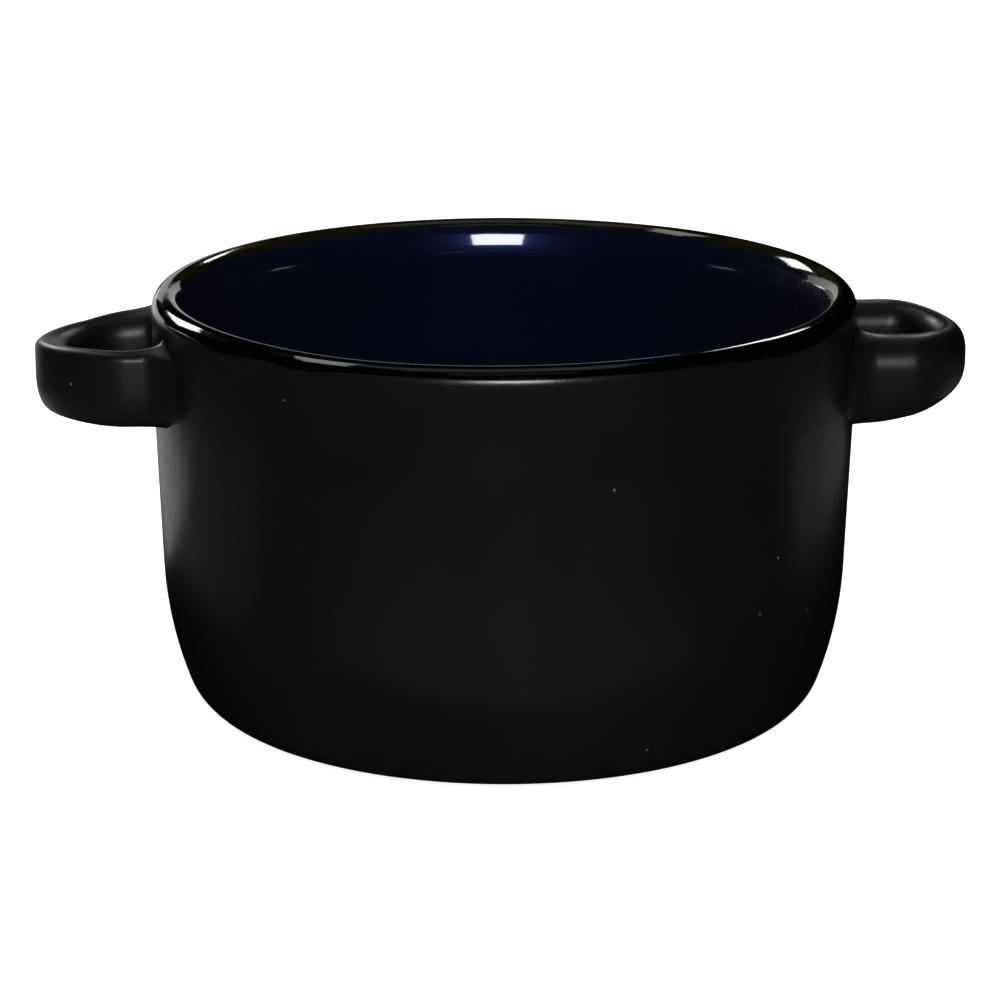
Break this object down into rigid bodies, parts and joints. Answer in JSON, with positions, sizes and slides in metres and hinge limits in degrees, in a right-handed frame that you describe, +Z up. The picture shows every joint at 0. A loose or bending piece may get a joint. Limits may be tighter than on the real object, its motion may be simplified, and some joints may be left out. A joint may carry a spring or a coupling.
{
  "type": "french onion soup crock",
  "caption": "Round stoneware soup crock with a loop handle on each side, cobalt gloss inside, matt black outside and a gloss black lip.",
  "frame": {"origin": "on the table plane, under the middle of the bowl", "axes": "+Z up along the bowl's axis, +X towards the right handle, -Y towards the front"},
  "size_m": [0.1518, 0.114, 0.0704],
  "materials": {
    "bare_stoneware": "unglazed, fine matt",
    "slip_clay": "unglazed, hidden under the legs",
    "matt_black_glaze": "satin matt",
    "gloss_black_glaze": "gloss",
    "cobalt_glaze": "gloss"
  },
  "bodies": {
    "root": {"clay_body": "bare_stoneware", "left_handle": "bare_stoneware", "right_handle": "bare_stoneware", "left_front_slip": "slip_clay", "left_rear_slip": "slip_clay", "right_front_slip": "slip_clay", "right_rear_slip": "slip_clay", "exterior_glaze": "matt_black_glaze", "left_handle_glaze": "matt_black_glaze", "right_handle_glaze": "matt_black_glaze", "base_glaze": "matt_black_glaze", "rim_glaze": "gloss_black_glaze", "interior_glaze": "cobalt_glaze"}
  },
  "joints": []
}
